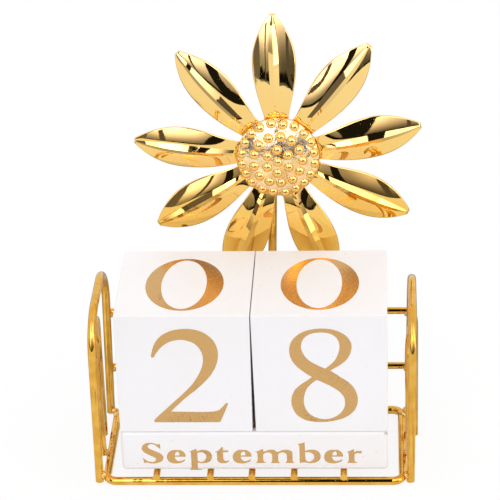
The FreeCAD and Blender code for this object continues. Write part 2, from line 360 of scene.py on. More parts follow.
def whiteFloor(shader):
    path = shader.node("ShaderNodeLightPath")
    mirrored = path.out("Is Glossy Ray")
    rays = path.out("Is Camera Ray").highest(mirrored).highest(path.out("Is Transmission Ray"))
    clouds = shader.noise(whiteBack["toneScale"], 2.0)
    tone = shader.mix(clouds, rgba(whiteBack["grey"]), rgba(whiteBack["white"]))
    matt = shader.surface({"Base Color": tone, "Roughness": whiteBack["roughness"]})
    # the metal also shows the shade that the object throws on the floor behind it
    back = shader.split(shader.place())[1]
    behind = shader.remap(back, *whiteBack["shadeStart"], 0, 1)
    behind = behind * shader.remap(back, *whiteBack["shadeEnd"], 1, 0)
    glow = 1 - behind * mirrored * whiteBack["shade"]
    bright = shader.node("ShaderNodeEmission", {}, {"Color": glow, "Strength": 1.0}).out(0)
    values = {0: rays * whiteBack["share"], 1: matt, 2: bright}
    return shader.node("ShaderNodeMixShader", {}, values).out(0)


# What the metal shows in front of the object: black at the table's edge, a room that grows paler and cooler
# upwards, and dark upright flags. Heights and sides are those of a ray that is 1 long
studio = {
    "sky": 1.0, "front": (-0.35, 0.05),  # the room is whole at the first of these and gone at the second
    "leftRoom": 0.32, "rightRoom": 0.10, "roomSides": (-0.45, 0.35), "roomLight": 1.14, "roomTop": 0.44,
    "black": 0.006, "tableEdge": -0.165, "roomFoot": -0.10, "edge": 0.01,
    "window": 2.4, "leftWindow": 0.26, "rightWindow": 0.60, "windowSides": (-0.35, 0.25),
    "jagScale": 15.0, "jag": 0.10, "cool": (0.97, 0.92, 1.12), "coolTop": 0.15,
    "flags": [  # side, half width, top, shade
        (-0.80, 0.05, 0.45, 0.10), (-0.42, 0.03, 0.45, 0.10), (0.55, 0.04, 0.45, 0.10),
        (0.90, 0.04, 0.45, 0.10), (0.0, 0.10, 1.1, 0.012), (-0.72, 0.10, 0.85, 0.16),
    ],
    "flagEdge": 0.9, "flagFade": 0.04, "flagJag": 0.1,
}

lamps = {
    "frontSoftbox": {"place": (-0.35, -1.0, 0.95), "target": (0, 0, 0.06), "size": (0.6, 0.4), "power": 1.6},
    "rightSoftbox": {"place": (0.8, -0.35, 0.28), "target": (0, 0, 0.08), "size": (0.3, 0.5), "power": 1.2},
}


def roomWall(shader, side, height, jag, mirrored):
    # the metal sees a bright window in the room, and matt pieces only its even light
    foot = studio["roomFoot"]
    edge = studio["edge"]
    tone = shader.remap(side, *studio["roomSides"], studio["leftRoom"], studio["rightRoom"])
    climb = shader.remap(height, foot, studio["roomTop"], 0, 1)
    lit = tone + climb * climb * (studio["roomLight"] - tone)
    windowTop = shader.remap(side, *studio["windowSides"], studio["leftWindow"], studio["rightWindow"])
    climb = ((height - foot) / (windowTop - foot)).highest(0.0).lowest(1.0)
    wall = lit + mirrored * (tone + climb * climb * (studio["window"] - tone) - lit)
    aboveFoot = shader.remap(height + jag, foot - edge, foot + edge, 0, 1)
    underEdge = shader.remap(height, studio["tableEdge"] - edge, studio["tableEdge"], 1, 0)
    black = 1 - aboveFoot.highest(underEdge)
    return wall * (1 - black) + black * studio["black"]


def makeWorld():
    world = bpy.data.worlds.new("studioWorld")
    bpy.context.scene.world = world
    world.use_nodes = True
    world.node_tree.nodes.clear()
    shader = Shader(world.node_tree)
    way = shader.node("ShaderNodeTexCoord").out("Generated")
    side, back, height = shader.split(way)
    path = shader.node("ShaderNodeLightPath")
    mirrored = path.out("Is Glossy Ray")
    front = shader.remap(back, *studio["front"], 1, 0)
    jag = (shader.noise(studio["jagScale"], 3.0, 0.6, way) - 0.5) * studio["jag"]
    wall = roomWall(shader, side, height, jag, mirrored)
    level = studio["sky"] + front * (wall - studio["sky"])
    flagFront = shader.remap(back, 0.0, studio["front"][1], 1, 0)
    for place, width, top, shade in studio["flags"]:
        away = (side - place).absolute() + jag * studio["flagJag"]
        flag = shader.remap(away, width * studio["flagEdge"], width, 1, 0) * flagFront * mirrored
        flag = flag * shader.remap(height, top, top + studio["flagFade"], 1, 0)
        level = level * (1 - flag) + flag * shade
    # the view and the metal both show a white backdrop; only the metal shows the room in front as well
    backdrop = mirrored.highest(path.out("Is Transmission Ray")) * (1 - front)
    backdrop = backdrop.highest(path.out("Is Camera Ray"))
    level = level + backdrop * (studio["sky"] - level)
    chill = mirrored * front * shader.remap(height, studio["roomFoot"], studio["coolTop"], 0, 1)
    colour = shader.mix(chill, rgba((1, 1, 1)), rgba(studio["cool"]))
    surface = shader.node("ShaderNodeBackground", {}, {"Color": colour, "Strength": level}).out(0)
    shader.node("ShaderNodeOutputWorld", {}, {"Surface": surface})
    print("room made")


def softbox(name, place, target, size, power):
    data = bpy.data.lights.new(name, "AREA")
    data.shape = "RECTANGLE"
    data.size, data.size_y = size
    data.energy = power
    lamp = bpy.data.objects.new(name, data)
    bpy.context.scene.collection.objects.link(lamp)
    lamp.location = place
    lamp.rotation_euler = (Vector(target) - Vector(place)).to_track_quat("-Z", "Y").to_euler()


def makeStage():
    mesh = bpy.data.meshes.new("floor")
    side = whiteBack["side"]
    front = whiteBack["front"]
    back = whiteBack["back"]
    corners = [(-side, front, 0), (side, front, 0), (side, back, 0), (-side, back, 0)]
    mesh.from_pydata(corners, [], [(0, 1, 2, 3)])
    mesh.materials.append(materials["floor"])
    floor = bpy.data.objects.new("floor", mesh)
    floor.location = (0, 0, cadBox[0][2])
    bpy.context.scene.collection.objects.link(floor)
    for name, lamp in lamps.items():
        softbox(name, **lamp)
    print("floor and lamps made")


def addPiece(name, work, look, body, replaced=None, smooth=True):
    mesh = bpy.data.meshes.new(name)
    work.to_mesh(mesh)
    work.free()
    mesh.materials.append(materials[look])
    for face in mesh.polygons:
        face.use_smooth = smooth
    piece = bpy.data.objects.new(name, mesh)
    bpy.context.scene.collection.objects.link(piece)
    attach(piece, body)
    if replaced:
        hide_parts(replaced)
    return piece


# The flower: nine pressed petals round a cap of small bosses. Lengths are in mm and turns in degrees
flower = {
    "lean": 5.5, "turns": [1.4, -39.4, -79.2, -116.6, -158.6, -201.2, -238.6, -275.2, -316.4],
    "twists": [0, 1, 3, 0, 0, 0, 2, -6, -10], "reach": 54.95, "rootRun": 0.12, "sheet": 0.7,
    "halfWidth": 8.2, "rootHalfWidth": 4.6, "tipHalfWidth": 1.0, "widest": 0.52,
    "widenPower": 1.2, "taperPower": 2.1, "leanBack": 5.0, "bow": 10.0, "curl": 10.0, "stepDown": 0.15,
    "rootFall": 0.15, "edgeFall": 1.8, "fallPower": 1.5, "rib": 1.3, "ribHalfWidth": 1.9, "ribEnd": 0.1,
    "alongSteps": 64, "acrossSteps": 40, "ribZone": 0.35,  # the share of the steps across that the rib takes
    "hubRadius": 15.3, "hubSheet": 0.9, "roundSteps": 96, "capRings": 40,
    "domeRadius": 15.6, "domeRim": 1.3, "domeRise": 5.0, "domeSheet": 0.9, "rimWall": 0.7, "rimRound": 0.992,
    "bossRadius": 2.1, "bossSink": 0.75, "bossStray": 0.22, "bossSpacing": 4.3, "bossMargin": 1.9,
}


def flowerPlace():
    low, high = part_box("seed_dome")
    lean = math.radians(flower["lean"])
    radius = flower["domeRadius"] * mm
    out = Vector((0, -math.cos(lean), math.sin(lean)))
    up = Vector((0, math.sin(lean), math.cos(lean)))
    middle = (low[0] + high[0]) / 2
    centre = Vector((middle, high[1] - radius * math.sin(lean), low[2] + radius * math.cos(lean)))
    turned = Matrix((Vector((1, 0, 0)), up, out)).transposed().to_4x4()
    return Matrix.Translation(centre) @ turned @ Matrix.Scale(mm, 4)


def petalShape(share):
    f = flower
    inside = min(max(share, 0), 1)
    swell = math.sin(math.pi * inside)
    if share < f["widest"]:
        widening = math.sin(math.pi / 2 * inside / f["widest"]) ** f["widenPower"]
        half = f["rootHalfWidth"] + (f["halfWidth"] - f["rootHalfWidth"]) * widening
    else:
        taper = (share - f["widest"]) / (1 - f["widest"])
        half = f["tipHalfWidth"] + (f["halfWidth"] - f["tipHalfWidth"]) * (1 - taper ** f["taperPower"])
    ribHalf = half / 4 + (f["ribHalfWidth"] - f["halfWidth"] / 4) * swell
    rib = f["ribEnd"] + f["rib"] * swell
    steepness = math.sin(math.pi / 2 * min(1, inside * 2)) * (half / f["halfWidth"]) ** 2
    fall = f["rootFall"] + f["edgeFall"] * steepness
    turn = 2 * share - 1
    back = f["leanBack"] * share + f["bow"] * (turn ** 2 - 1) / 4 + f["curl"] * (turn ** 4 - 1) / 8
    ground = -f["stepDown"] - math.radians(back) * (f["reach"] - f["domeRadius"])
    return half, ribHalf, rib, fall, ground


def petalRow(share):
    # the points across a petal, closer together on its rib
    half, ribHalf, rib, fall, ground = petalShape(share)
    y = flower["domeRadius"] + share * (flower["reach"] - flower["domeRadius"])
    ribShare = ribHalf / half
    ribZone = flower["ribZone"]
    row = []
    for j in range(flower["acrossSteps"] + 1):
        step = 2 * j / flower["acrossSteps"] - 1
        if abs(step) < ribZone:
            away = abs(step) / ribZone * ribShare
            height = ground + rib * (1 - away / ribShare)
        else:
            past = (abs(step) - ribZone) / (1 - ribZone)
            away = ribShare + past * (1 - ribShare)
            height = ground - fall * past ** flower["fallPower"]
        row.append(Vector((math.copysign(away, step) * half, y, height)))
    return row


def addShell(name, vertices, faces, look, replaced, smooth=True):
    # a closed shell of the flower, in the flower's own axes
    place = flowerPlace()
    work = bmesh.new()
    corners = [work.verts.new(place @ vertex) for vertex in vertices]
    for face in faces:
        work.faces.new([corners[k] for k in face])
    bmesh.ops.recalc_face_normals(work, faces=work.faces[:])
    return addPiece(name, work, look, "stand", replaced, smooth)


def makePetals():
    along = flower["alongSteps"]
    across = flower["acrossSteps"]
    ribZone = flower["ribZone"]
    width = across + 1
    layer = (along + 1) * width
    faces = []
    for i in range(along):
        for j in range(across):
            a = i * width + j
            faces.append((a, a + 1, a + width + 1, a + width))
            faces.append((layer + a, layer + a + width, layer + a + width + 1, layer + a + 1))
        for a in (i * width, i * width + across):
            faces.append((a, a + width, layer + a + width, layer + a))
    for j in range(across):
        for a in (j, along * width + j):
            faces.append((a, a + 1, layer + a + 1, layer + a))
    creases = {round(across * share) for share in ((1 - ribZone) / 2, 0.5, (1 + ribZone) / 2)}
    root = flower["rootRun"]
    front = []
    for i in range(along + 1):
        front += petalRow((1 + root) * i / along - root)
    rear = [point - Vector((0, 0, flower["sheet"])) for point in front]
    for number, (degrees, twist) in enumerate(zip(flower["turns"], flower["twists"]), 1):
        turn = Matrix.Rotation(math.radians(degrees), 4, "Z") @ Matrix.Rotation(math.radians(twist), 4, "Y")
        vertices = [turn @ point for point in front + rear]
        piece = addShell("petal_" + str(number), vertices, faces, "flowerGold", "petal_plate")
        for edge in piece.data.edges:
            a, b = sorted(edge.vertices)
            if b - a == width and a % width in creases and b < layer:
                edge.use_edge_sharp = True
    print("petals made")


def ringPoints(radius, height):
    steps = flower["roundSteps"]
    angles = [2 * math.pi * k / steps for k in range(steps)]
    return [Vector((radius * math.cos(angle), radius * math.sin(angle), height)) for angle in angles]


def ringFaces(first):
    # the faces between one ring of points and the next
    steps = flower["roundSteps"]
    pairs = [(first + k, first + (k + 1) % steps) for k in range(steps)]
    return [(a, b, steps + b, steps + a) for a, b in pairs]


def domeBall():
    # the radius of the ball that the cap is cut from, and how high the ball's middle lies
    ball = (flower["domeRadius"] ** 2 + flower["domeRise"] ** 2) / (2 * flower["domeRise"])
    return ball, flower["domeRim"] + flower["domeRise"] - ball


def makeCap():
    f = flower
    ball, middle = domeBall()
    steps = f["roundSteps"]
    rings = f["capRings"]
    rim = f["domeRadius"]
    profile = [(rim - f["domeSheet"], 0.0), (rim, 0.0), (rim, f["domeRim"] * f["rimWall"])]
    for i in range(rings):
        radius = rim * (1 - i / rings) * f["rimRound"]
        profile.append((radius, middle + math.sqrt(ball ** 2 - radius ** 2)))
    vertices = []
    faces = []
    for i, (radius, height) in enumerate(profile):
        vertices += ringPoints(radius, height)
        if i:
            faces += ringFaces((i - 1) * steps)
    last = (len(profile) - 1) * steps
    vertices.append(Vector((0, 0, f["domeRim"] + f["domeRise"])))
    for k in range(steps):
        faces.append((last + k, last + (k + 1) % steps, len(vertices) - 1))
    addShell("dome_cap", vertices, faces, "domeGold", "seed_dome")
    print("cap made")


def makeBosses():
    f = flower
    ball, middle = domeBall()
    stray = f["bossStray"]
    places = [(0.0, 0.0)]
    count = int((f["domeRadius"] - f["bossMargin"]) / f["bossSpacing"])
    gap = (f["domeRadius"] - f["bossMargin"]) / count
    for ring in range(1, count + 1):
        many = int(2 * math.pi * ring * gap / f["bossSpacing"])
        places += [(ring * gap, 2 * math.pi * (k + 0.5 * (ring % 2)) / many) for k in range(many)]
    random.seed(9)
    work = bmesh.new()
    for radius, angle in places:
        x = radius * math.cos(angle) + random.uniform(-stray, stray)
        y = radius * math.sin(angle) + random.uniform(-stray, stray)
        seat = ball - f["bossSink"]
        spot = Matrix.Translation((x, y, middle + math.sqrt(seat ** 2 - x ** 2 - y ** 2)))
        bmesh.ops.create_uvsphere(work, u_segments=28, v_segments=18, radius=f["bossRadius"], matrix=spot)
    bmesh.ops.transform(work, matrix=flowerPlace(), verts=work.verts[:])
    addPiece("dome_bosses", work, "flowerGold", "stand", "seed_dome")
    print("bosses made:", len(places))


def makeHub():
    # the flat disc that the petals spring from
    steps = flower["roundSteps"]
    radius = flower["hubRadius"]
    vertices = ringPoints(radius, 0.0) + ringPoints(radius, -flower["hubSheet"])
    faces = ringFaces(0) + [tuple(range(steps)), tuple(range(2 * steps - 1, steps - 1, -1))]
    addShell("flower_hub", vertices, faces, "flowerGold", "petal_plate", smooth=False)
    print("hub made")


# Solder: the beads of the stand, each a lump of its own, and the rough run along the left side bar
solder = {
    "beadSize": 1.05, "lumpiness": 0.35, "lumpWaves": 1.6, "grain": 0.06, "grainWaves": 6.0,
    "count": 16, "from": -11.0, "to": 17.0, "stray": 0.6, "small": 0.55, "large": 1.0,  # the run, in mm
    "inset": 0.8, "insetStray": 1.3, "leastSink": 0.1, "mostSink": 0.7,
}


def looseParts(mesh):
    # the corners of each loose part of a mesh
    work = bmesh.new()
    work.from_mesh(mesh)
    seen = set()
    parts = []
    for first in work.verts:
        if first in seen:
            continue
        seen.add(first)
        part = [first]
        for vertex in part:
            near = [edge.other_vert(vertex) for edge in vertex.link_edges]
            fresh = [other for other in near if other not in seen]
            seen.update(fresh)
            part += fresh
        parts.append([vertex.co.copy() for vertex in part])
    work.free()
    return parts


def lump(work, centre, radius, number):
    made = bmesh.ops.create_icosphere(work, subdivisions=4, radius=1.0)
    shift = Vector((7.1, 3.7, 1.3)) * number
    for vertex in made["verts"]:
        way = vertex.co.normalized()
        swell = 1 - solder["lumpiness"] * (0.5 - 0.5 * noise.noise(way * solder["lumpWaves"] + shift))
        swell -= solder["grain"] * (1 - noise.noise(way * solder["grainWaves"] + shift))
        vertex.co = centre + way * radius * swell


def makeBeads(node):
    work = bmesh.new()
    for number, points in enumerate(looseParts(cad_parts[node].data)):
        low = Vector([min(point[k] for point in points) for k in range(3)])
        high = Vector([max(point[k] for point in points) for k in range(3)])
        lump(work, (low + high) / 2, (high.x - low.x) / 2 * solder["beadSize"], number + len(node))
    addPiece(node + "_lumps", work, "solder", "stand", node)


def makeSolderRun():
    random.seed(4)
    low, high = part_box("base_ring")
    work = bmesh.new()
    for k in range(solder["count"]):
        share = k / (solder["count"] - 1)
        radius = random.uniform(solder["small"], solder["large"])
        y = solder["from"] + share * (solder["to"] - solder["from"])
        y += random.uniform(-solder["stray"], solder["stray"])
        x = solder["inset"] + random.uniform(0, solder["insetStray"])
        z = random.uniform(solder["leastSink"], solder["mostSink"])
        lump(work, Vector((low[0] + x * mm, y * mm, high[2] - z * mm)), radius * mm, k + 40)
    addPiece("solder_run", work, "solder", "stand")


# Painted blocks with rounded edges. Each cube narrows towards its foot, on the inner side. Lengths are in mm
blocks = {
    "cubeEdge": 0.45, "barEdge": 1.5, "edgeSteps": 4,
    "pinch": {"tens_cube": (1, 0.25), "units_cube": (-1, 0.75)},  # side, width
}


def makeBlock(name, edge):
    low, high = [Vector(corner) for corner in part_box(name)]
    size = high - low
    middle = (low + high) / 2
    side, pinch = blocks["pinch"].get(name, (0, 0))
    work = bmesh.new()
    bmesh.ops.create_cube(work, size=1.0)
    for vertex in work.verts:
        vertex.co = middle + Vector([vertex.co[k] * size[k] for k in range(3)])
        if vertex.co.z < middle.z and (vertex.co.x - middle.x) * side > 0:
            vertex.co.x -= side * pinch * mm
    bmesh.ops.bevel(work, geom=work.edges[:], offset=edge * mm, segments=blocks["edgeSteps"],
                    affect="EDGES", profile=0.5)
    piece = addPiece(name + "_block", work, "paint", name, name)
    piece.modifiers.new("evenShade", "WEIGHTED_NORMAL").keep_sharp = True


# Foil figures. Outlines are in hundredths of the height of a figure or capital. A point with ! is a corner,
# the line is smooth through the others, and a cut is taken out of the outlines before it.
figures = {
    "0": (74, ["oval 37 50 36.9 50", "cut oval 36.5 50 21.4 46.6"]),
    "1": (42, ["0,83! 24,100! 28,100! 28,9 31,3 42,2! 42,0! 2,0! 2,2! 13,3 16,9 16,80 14,86 9,86 1,81!"]),
    "2": (69, ["-0.9,70! 0.1,75.6 3.2,84.8 9.3,92.7 18.6,97.9 31.1,100 42.7,98.3 51.7,93.2 58.4,84.4 "
               "60.6,73.6 59,62.9 54.9,53.6 49.2,45.7 38.9,35 27.8,25.2 14.9,11.7! 33.1,11.3 49.7,11.3 "
               "58.1,12.7 62.4,16.4 66.3,21.1! 68.1,20.3! 64.7,11 60.3,0.6! 59.1,0! -0.3,0! -1.4,1.4! "
               "1.8,5.7 13.4,17.4 27.1,31.3 35.8,41.3 42,51.6 45.8,61.4 46.6,70.2 44.5,77.5 39.7,83.9 "
               "32.4,87.5 24.9,88.3 16.6,86.1 9.8,81.4 5,75.6 1.7,69.8!"]),
    "3": (66, ["3,80! 11,92 26,100 42,98 55,88 56,74 47,61 36,54! 54,49 66,32 61,12 44,1 24,-1 6,5 "
               "2,13 8,19 18,12 30,4 44,8 52,25 46,43 32,49 19,49! 19,52! 33,57 43,70 41,86 29,94 "
               "17,90 6,78!"]),
    "4": (66, ["42,100! 48,100! 48,34! 66,34! 66,25! 48,25! 48,0! 34,0! 34,25! 0,25! 0,31!",
               "cut 34,34! 34,82! 7,34!"]),
    "5": (64, ["14,99! 58,99! 54,87! 22,87! 19,66! 38,65 56,53 63,35 57,13 39,1 20,-1 5,5 2,13 8,19 "
               "19,11 33,4 46,14 50,33 43,50 28,57 11,54! 8,55!"]),
    "6": (66, ["60,100! 32,93 9,70 0,39 6,14 21,1 38,-1 57,8 66,31 60,53 43,63 26,61 18,55! 24,76 "
               "38,91 60,97!", "cut oval 34 29.5 15.5 27"]),
    "7": (64, ["2,98! 64,98! 64,94! 30,0! 19,0! 49,85! 16,85 9,81 5,72! 1,72!"]),
    "8": (61, ["19.6,48.7! 13,53.6 5.7,60.4 1,68.2 -0.5,77.5 1.6,86.3 7.7,93.6 17,98.3 28.7,100 "
               "41.1,98.3 50.8,92.7 55.6,85.3 56,78 52.9,69.2 46.5,62.2 36.5,55.7! 44.4,49.7 54.1,42 "
               "59.6,33.5 61.3,23.3 58.5,13.5 51.2,6.2 40.3,1.8 26.9,0.2 14.5,1.8 5.6,7.6 1.1,16.4 "
               "0.4,25.2 3.2,34 8.3,39.9 14.3,44.5",
               "cut 31.8,57.7! 24.9,61.4 17.5,66.3 12.4,73.1 10.3,80.9 12.5,88.8 18.5,94.1 26.9,95.8 "
               "36,94.8 42.4,90.2 45.1,83.4 44.6,76.1 41.7,68.2 37.3,62.4",
               "cut 23.9,45.7! 30.8,42.3 39,37.4 46.2,31.1 49.5,23.8 48.2,14.5 42.1,7.1 32.9,3.5 "
               "23.8,4.7 16.4,9.6 12.4,17.4 11.9,26.2 14.2,35 18.3,40.9"]),
}

letters = {
    "S": (90, ["78.4,95! 79.4,68.9! 69.7,77 55.4,90.1 39,93.8 26.7,84.5 32.3,72 55.4,59.6 80,46 "
               "89.7,28.6 83,9.9 63,0 39,-2.5 20.5,1.9 8.2,-0.6! 2.6,26.7! 14.4,16.1 29.7,7.5 47.7,6.2 "
               "58.4,16.1 52.8,27.3 32.3,39.1 10.3,53.4 0.5,70.2 7.2,89.4 24.6,99.4 47.7,100 65.6,93.2"]),
    "e": (78, ["66.6,31.1! 32.3,31.1! 35.9,18.6 46.1,9.9 60,11.2 75.3,18.6! 71.8,8.1 53.8,0 33.3,-2.5 "
               "12.8,2.5 1,17.4 0,36 7.7,53.4 23.1,63.4 43.6,65.2 61.5,62.1 75.3,48.4 78.4,31.1!",
               "cut 33.3,37.3! 35.9,49.7 44.6,56.5 51.3,51.6 52.8,38.5!"]),
    "p": (95, ["0,55.9! 12.8,62.1 25.6,68.9! 33.3,68.9! 33.3,59.6 51.3,65.2 71.8,63.4 89.7,51.6 "
               "95.3,31.1 88.2,11.2 71.8,0.6 51.3,-1.2 34.3,1.9! 34.3,-26.1 38.4,-30.4 51.3,-31.7! "
               "51.3,-34.8! 1,-34.8! 1,-31.1! 6.7,-26.1 7.7,5 7.7,45.3 6.2,53.4",
               "cut 34.3,49.7! 46.1,53.4 61.5,49.7 71.8,34.8 66.6,17.4 53.8,6.2 41,7.5 34.3,12.4!"]),
    "t": (57, ["0,55.9! 12.8,62.1 26.7,79.5! 31.8,79.5! 31.8,62.1! 55.9,62.1! 52.3,53.4! 31.8,53.4! "
               "32.3,23.6 36.9,12.4 45.6,11.2 57.4,13.7! 52.3,5 36.9,-1.2 19,0 7.7,9.9 6.2,23.6 "
               "6.2,53.4! -1.5,53.4!"]),
    "m": (162, ["0,55.9! 12.8,59.6 28.2,68.3! 35.4,68.3! 36.4,57.1 58.9,65.2 79.4,64.6 93.8,54.7 "
                "115.3,64.6 138.4,64.6 153.8,55.9 156.3,39.1 156.3,11.2 162.5,1.9! 162.5,-0.6! "
                "126.6,-0.6! 126.6,2.5! 132.2,11.2 132.2,36 128.1,47.2 115.3,52.2 102.5,48.4 "
                "95.8,42.2! 96.4,11.2 102.5,1.9! 102.5,-0.6! 65.1,-0.6! 65.1,2.5! 70.7,11.2 70.7,36 "
                "66.6,47.2 53.8,52.2 41,48.4 34.3,42.2! 34.9,11.2 43.6,2.5! 43.6,-0.6! 2.6,-0.6! "
                "2.6,2.5! 9.2,11.2 9.7,39.1 7.7,50.9"]),
    "b": (96, ["0,93.2! 14.4,96.9 30.8,103.1! 31.8,59.6! 48.7,65.2 71.8,64.6 89.7,53.4 96.4,32.9 "
               "89.7,12.4 71.8,1.2 48.7,-1.2 28.2,2.5 8.2,0! 8.2,73.3 7.2,87",
               "cut 31.8,51.6! 45.1,53.4 60.5,47.2 69.2,32.9 64.1,16.1 48.7,6.2 35.9,11.2 31.8,22.4!"]),
    "r": (64, ["0,54.7! 12.8,59.6 25.6,67.1! 31.8,67.1! 32.3,53.4 43.6,59.6 56.4,59.6 64.1,60.9! "
               "60.5,46! 46.1,48.4 33.3,43.5! 33.3,11.2 43.6,1.9! 43.6,-0.6! 2.6,-0.6! 2.6,2.5! "
               "8.2,11.2 8.2,42.2 6.2,50.9"]),
    "a": (88, ["6,50! 20,62 45,65 66,60 74,48 74,14 80,6 88,5! 88,2! 74,-2 58,0 51,7! 38,-1 18,-2 4,6 "
               "2,20 14,32 34,37 50,40! 50,48 44,57 32,60 22,56 20,46 8,44",
               "cut 50,33! 50,14 42,7 32,7 26,14 27,25 36,31"]),
    "c": (68, ["66,44! 62,58 48,65 30,65 10,56 0,34 6,12 24,-1 46,-1 62,8 68,16! 65,19! 54,12 40,11 "
               "28,22 26,42 34,57 44,58 46,44 56,40"]),
    "g": (86, ["oval 42 -15 41 20", "cut oval 42 -16 27 12", "oval 40 41 35 25", "cut oval 40 41 14 21",
               "16,22! 9,10 13,1 30,-1! 58,-1! 58,7! 32,9! 28,14! 34,19!",
               "62,56! 72,66 86,67 86,56 76,57 68,48!"]),
    "h": (103, ["0,93.2! 14.4,96.9 30.8,103.1! 33,103! 34.3,56 56,65.2 79.4,64.6 93,55 95.8,40 "
                "95.8,11.2 102.5,1.9! 102.5,-0.6! 65.1,-0.6! 65.1,2.5! 70.7,11.2 70.7,36 66.6,47.2 "
                "53.8,52.2 41,48.4 34.3,42.2! 34.9,11.2 43.6,2.5! 43.6,-0.6! 2.6,-0.6! 2.6,2.5! "
                "8.2,11.2 8.2,73.3 7.2,87"]),
    "i": (42, ["0,55! 14,60 30,68! 33,68! 33,11 41,2.5! 41,-0.6! 0,-0.6! 0,2.5! 8,11 8,45",
               "oval 20 89 12.5 11"]),
    "l": (42, ["0,93.2! 14.4,96.9 30.8,103.1! 33,103! 33,11 41,2.5! 41,-0.6! 0,-0.6! 0,2.5! 8,11 8,82"]),
    "n": (103, ["0,55.9! 12.8,59.6 28.2,68.3! 35.4,68.3! 36.4,57.1 58.9,65.2 79.4,64.6 93,55 95.8,40 "
                "95.8,11.2 102.5,1.9! 102.5,-0.6! 65.1,-0.6! 65.1,2.5! 70.7,11.2 70.7,36 66.6,47.2 "
                "53.8,52.2 41,48.4 34.3,42.2! 34.9,11.2 43.6,2.5! 43.6,-0.6! 2.6,-0.6! 2.6,2.5! "
                "9.2,11.2 9.7,39.1 7.7,50.9"]),
    "o": (78, ["oval 39 31 39 34.5", "cut oval 39 31 16 29"]),
    "s": (60, ["50,62! 51,45! 44,53 34,60 24,60 17,54 20,47 36,40 52,32 58,19 52,5 38,-2 22,-2 10,1 "
               "3,0! 0,20! 8,10 20,4 32,4 38,10 35,17 22,24 6,32 0,44 4,57 16,64 32,65 43,62"]),
    "u": (101, ["0,62! 0,65! 31,65! 31,22 36,12 48,9 60,13 68,20! 68,55 60,62! 60,65! 93,65! 93,12 "
                "101,4! 101,1! 72,-3! 69,-2! 68,7 50,-2 30,-2 12,6 8,20 8,55"]),
    "v": (82, ["0,65! 38,65! 38,62! 31,58! 49,20! 62,57! 54,62! 54,65! 82,65! 82,62! 75,57! 46,-2! "
               "38,-2! 8,57! 0,62!"]),
    "y": (84, ["0,65! 38,65! 38,62! 31,58! 49,22! 63,57! 55,62! 55,65! 84,65! 84,62! 76,57! 42,-22 "
               "28,-35 10,-34 4,-24 12,-16 22,-20 30,-20 38,-8! 8,57! 0,62!"]),
    "A": (94, ["40,100! 50,100! 88,8! 98,3! 98,0! 56,0! 56,3! 66,8! 57,30! 27,30! 18,8! 28,3! 28,0! "
               "-4,0! -4,3! 6,8!", "cut 42,70! 54,37! 30,37!"]),
    "D": (104, ["0,97! 0,100! 50,100! 80,92 100,72 104,50 98,26 78,7 48,0! 0,0! 0,3! 10,8! 10,92!",
                "cut 36,93! 50,93 68,82 76,50 68,18 50,7 36,7!"]),
    "F": (82, ["0,97! 0,100! 80,100! 82,74! 78,74! 66,90 56,93! 36,93! 36,55! 48,55! 57,60 60,68! "
               "63,68! 63,36! 60,36! 56,46 48,48! 36,48! 36,8! 48,3! 48,0! 0,0! 0,3! 10,8! 10,92!"]),
    "J": (60, ["14,97! 14,100! 60,100! 60,97! 50,92! 50,22 42,4 24,-4 6,0 0,12 6,20 16,18 22,8 26,20! "
               "26,92!"]),
    "M": (122, ["0,97! 0,100! 32,100! 62,34! 90,100! 122,100! 122,97! 112,92! 112,8! 122,3! 122,0! "
                "78,0! 78,3! 87,8! 87,78! 55,0! 50,0! 18,76! 18,8! 28,3! 28,0! 0,0! 0,3! 10,8! 10,92!"]),
    "N": (104, ["0,97! 0,100! 32,100! 84,30! 84,92! 74,97! 74,100! 104,100! 104,97! 94,92! 94,-2! "
                "88,-2! 20,84! 20,8! 30,3! 30,0! 0,0! 0,3! 10,8! 10,92!"]),
    "O": (101, ["oval 50.5 49 50.5 52", "cut oval 50.5 49 25 46"]),
}

foilSheet = {
    "proud": 0.02, "depth": 0.05,  # mm above the paint, mm of thickness
    "curveSteps": 6, "ovalSteps": 72,
    "closest": 1e-4,  # points of an outline nearer than this, in the outline's own units, become one
}


def ovalPoints(cx, cy, rx, ry):
    angles = [2 * math.pi * k / foilSheet["ovalSteps"] for k in range(foilSheet["ovalSteps"])]
    return [(cx + rx * math.cos(angle), cy + ry * math.sin(angle)) for angle in angles]


def curvePoint(a, b, c, d, t):
    # a smooth line through b and c, with a before them and d after
    bend = (2 * a - 5 * b + 4 * c - d) * t * t + (3 * b - a - 3 * c + d) * t ** 3
    return 0.5 * (2 * b + (c - a) * t + bend)


def outlinePoints(text):
    text = text.removeprefix("cut ")
    if text.startswith("oval"):
        return ovalPoints(*[float(number) for number in text.split()[1:]])
    marks = []
    for mark in text.split():
        x, y = mark.rstrip("!").split(",")
        marks.append((mark.endswith("!"), (float(x), float(y))))
    points = []
    steps = foilSheet["curveSteps"]
    for k, (corner, here) in enumerate(marks):
        nextCorner, beyond = marks[(k + 1) % len(marks)]
        if corner and nextCorner:
            points.append(here)
            continue
        before = here if corner else marks[k - 1][1]
        after = beyond if nextCorner else marks[(k + 2) % len(marks)][1]
        for s in range(steps):
            points.append([curvePoint(*values, s / steps) for values in zip(before, here, beyond, after)])
    return points


